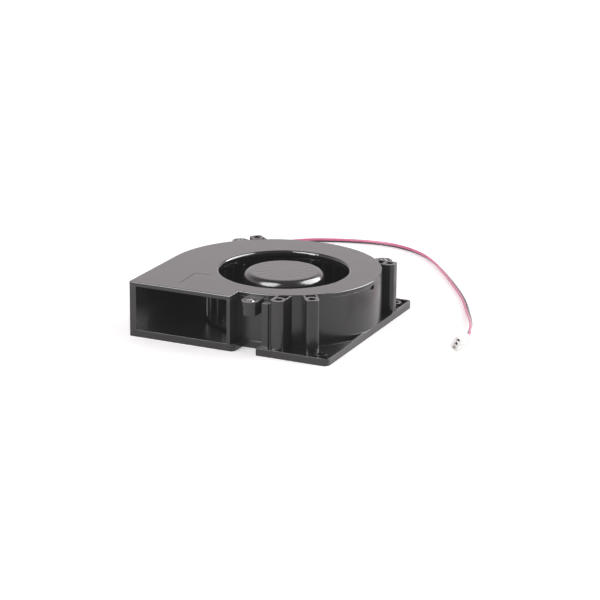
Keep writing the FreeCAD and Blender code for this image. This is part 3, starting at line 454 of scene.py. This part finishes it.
def insulation(name, colour):
    """Glossy PVC wire insulation with slight kinks in its skin."""
    material, tree, surface = new_material(name)
    skin = noise(tree, 1.2 * MM, 3.0)
    cloud = noise(tree, 6 * MM, 3.0)
    darker = tuple(channel * 0.85 for channel in colour[:3]) + (1.0,)
    feed(
        tree,
        surface,
        Base_Color=blended(tree, spread(tree, cloud, 0, 1), darker, colour),
        Roughness=spread(tree, cloud, 0.26, 0.36),
        Normal=bumped(tree, skin, 0.01 * MM),
    )
    return material


def red_insulation():
    """Red wire skin."""
    return insulation("red_insulation", (0.66, 0.14, 0.27, 1))


def black_insulation():
    """Black wire skin."""
    return insulation("black_insulation", (0.03, 0.026, 0.028, 1))


MATERIALS = {
    casing_plastic: ("lower_casing",),
    cover_plastic: ("top_cover",),
    impeller_plastic: ("impeller",),
    label: ("rear_label",),
    screw_steel: ("cover_screw_front", "cover_screw_rear_right", "cover_screw_rear_left"),
    yoke_steel: ("rotor_yoke",),
    magnet: ("rotor_magnet",),
    brass: ("shaft_bushing", "bearing_tube", "lower_ball_cage", "upper_ball_cage"),
    bright_steel: ("shaft", "retaining_clip", "preload_spring"),
    bearing_steel: (
        "lower_inner_race", "lower_outer_race", "lower_bearing_balls", "lower_bearing_shields",
        "upper_inner_race", "upper_outer_race", "upper_bearing_balls", "upper_bearing_shields",
    ),
    core_steel: ("stator_core",),
    copper_winding: ("stator_coils",),
    bobbin_plastic: ("lower_insulator", "upper_insulator"),
    board: ("circuit_board",),
    capacitor_can: ("board_capacitor",),
    chip_black: ("board_resistors", "hall_sensor", "driver_chip"),
    red_insulation: ("red_wire",),
    black_insulation: ("black_wire",),
    plug_plastic: ("plug_housing",),
    tinned_contact: ("red_contact", "black_contact"),
}


def dress(nodes):
    """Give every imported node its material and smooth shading."""
    for make, names in MATERIALS.items():
        material = make()
        for name in names:
            mesh = nodes[name].data
            mesh.materials.clear()
            mesh.materials.append(material)
            mesh.shade_smooth()
            mesh.set_sharp_from_angle(angle=math.radians(28))


def floor():
    """Pale plain floor under the fan, clear when looked at from below."""
    bpy.ops.mesh.primitive_plane_add(size=FLOOR_SIZE, location=(0, 0, -FLOOR_DROP))
    made = bpy.context.object
    made.name = "floor"
    material, tree, surface = new_material("floor_paper")
    fibre = noise(tree, 3 * MM, 4.0)
    feed(
        tree,
        surface,
        Base_Color=blended(tree, spread(tree, fibre, 0, 1), grey(0.93), grey(0.95)),
        Roughness=0.9,
        Specular_IOR_Level=0.1,
        Emission_Color=grey(1.0),
        Emission_Strength=FLOOR_GLOW,
    )
    clear = node(tree, "ShaderNodeBsdfTransparent").outputs["BSDF"]
    from_below = node(tree, "ShaderNodeNewGeometry").outputs["Backfacing"]
    two_sided = node(tree, "ShaderNodeMixShader", {0: from_below, 1: surface.outputs["BSDF"], 2: clear})
    join(tree, two_sided.outputs["Shader"], tree.nodes["Material Output"].inputs["Surface"])
    made.data.materials.append(material)


def direction(turn, rise):
    """Unit vector away from the fan, turned from straight ahead of the outlet and raised."""
    return Vector((math.sin(turn) * math.cos(rise), -math.cos(turn) * math.cos(rise), math.sin(rise)))


def room():
    """White surroundings, bright near the horizon, dimmer overhead and behind the camera."""
    world = bpy.data.worlds.new("studio")
    bpy.context.scene.world = world
    world.use_nodes = True
    tree = world.node_tree
    backdrop = tree.nodes["Background"]
    backdrop.inputs["Color"].default_value = WALL_TINT
    view = node(tree, "ShaderNodeTexCoord").outputs["Generated"]
    _, _, upward = split(tree, view)
    height = spread(tree, upward, WALL_LIGHT, CEILING_LIGHT, WALL_TOP, CEILING_EDGE)
    ahead = direction(CAMERA_TURN, 0)
    toward = node(tree, "ShaderNodeVectorMath", {0: view, 1: ahead}, operation="DOT_PRODUCT")
    side = spread(tree, toward.outputs["Value"], 1.0, CAMERA_SIDE, 0.1, 0.8)
    join(tree, maths(tree, "MULTIPLY", height, side), backdrop.inputs["Strength"])


def panel(name, centre, away, distance, width, height, brightness):
    """Glowing oval facing the centre."""
    lamp = bpy.data.lights.new(name, "AREA")
    lamp.shape = "ELLIPSE"
    lamp.size = width
    lamp.size_y = height
    area = math.pi / 4 * width * height
    lamp.energy = brightness * math.pi * area
    made = bpy.data.objects.new(name, lamp)
    bpy.context.scene.collection.objects.link(made)
    made.location = centre + away * distance
    made.rotation_euler = away.to_track_quat("Z", "Y").to_euler()
    return made


def softbox(name, centre, swing, rise, width, height):
    """Softbox aimed at the fan, swung sideways from the camera and raised by angles in degrees."""
    away = direction(CAMERA_TURN + math.radians(swing), math.radians(rise))
    panel(name, centre, away, SOFTBOX_DISTANCE, width, height, SOFTBOX_LIGHT)
    shine = panel(name + "_shine", centre, away, SHINE_DISTANCE, width, height, SHINE_LIGHT)
    shine.visible_diffuse = False
    shine.data.cycles.max_bounces = 1


def studio(centre):
    """The room and its softboxes."""
    room()
    for name, (swing, rise, width, height) in SOFTBOXES.items():
        softbox(name, centre, swing, rise, width, height)


def camera(centre):
    """Long lens from the front, a little right and above, with a slight roll."""
    back = direction(CAMERA_TURN, CAMERA_RISE)
    level = Vector((math.cos(CAMERA_TURN), math.sin(CAMERA_TURN), 0))
    upright = back.cross(level)
    right = math.cos(CAMERA_ROLL) * level + math.sin(CAMERA_ROLL) * upright
    up = math.cos(CAMERA_ROLL) * upright - math.sin(CAMERA_ROLL) * level
    data = bpy.data.cameras.new("camera")
    data.sensor_width = CAMERA_SENSOR
    data.lens = CAMERA_LENS
    data.clip_end = 20
    made = bpy.data.objects.new("camera", data)
    bpy.context.scene.collection.objects.link(made)
    aim = centre + CAMERA_SHIFT_RIGHT * right + CAMERA_SHIFT_UP * up
    turn = Matrix((right, up, back)).transposed()
    made.matrix_world = Matrix.Translation(aim + CAMERA_DISTANCE * back) @ turn.to_4x4()
    bpy.context.scene.camera = made


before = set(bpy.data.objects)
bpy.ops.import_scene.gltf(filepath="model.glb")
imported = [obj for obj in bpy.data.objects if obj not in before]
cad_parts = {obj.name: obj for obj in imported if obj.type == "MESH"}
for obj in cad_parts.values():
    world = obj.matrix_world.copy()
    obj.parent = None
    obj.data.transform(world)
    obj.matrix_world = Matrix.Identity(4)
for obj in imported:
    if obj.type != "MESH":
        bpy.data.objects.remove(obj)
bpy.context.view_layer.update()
scene = bpy.context.scene
scene.view_settings.view_transform = "Standard"
scene.view_settings.look = "None"
scene.view_settings.use_curve_mapping = True
scene.view_settings.curve_mapping.black_level = (-SHADOW_LIFT, -SHADOW_LIFT, -SHADOW_LIFT)
scene.view_settings.curve_mapping.update()
casing_low, casing_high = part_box("lower_casing")
half_side = (casing_high.y - casing_low.y) / 2
footing = Vector((casing_high.x - half_side, casing_high.y - half_side, 0))
dress(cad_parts)
floor()
studio(footing)
camera(footing)
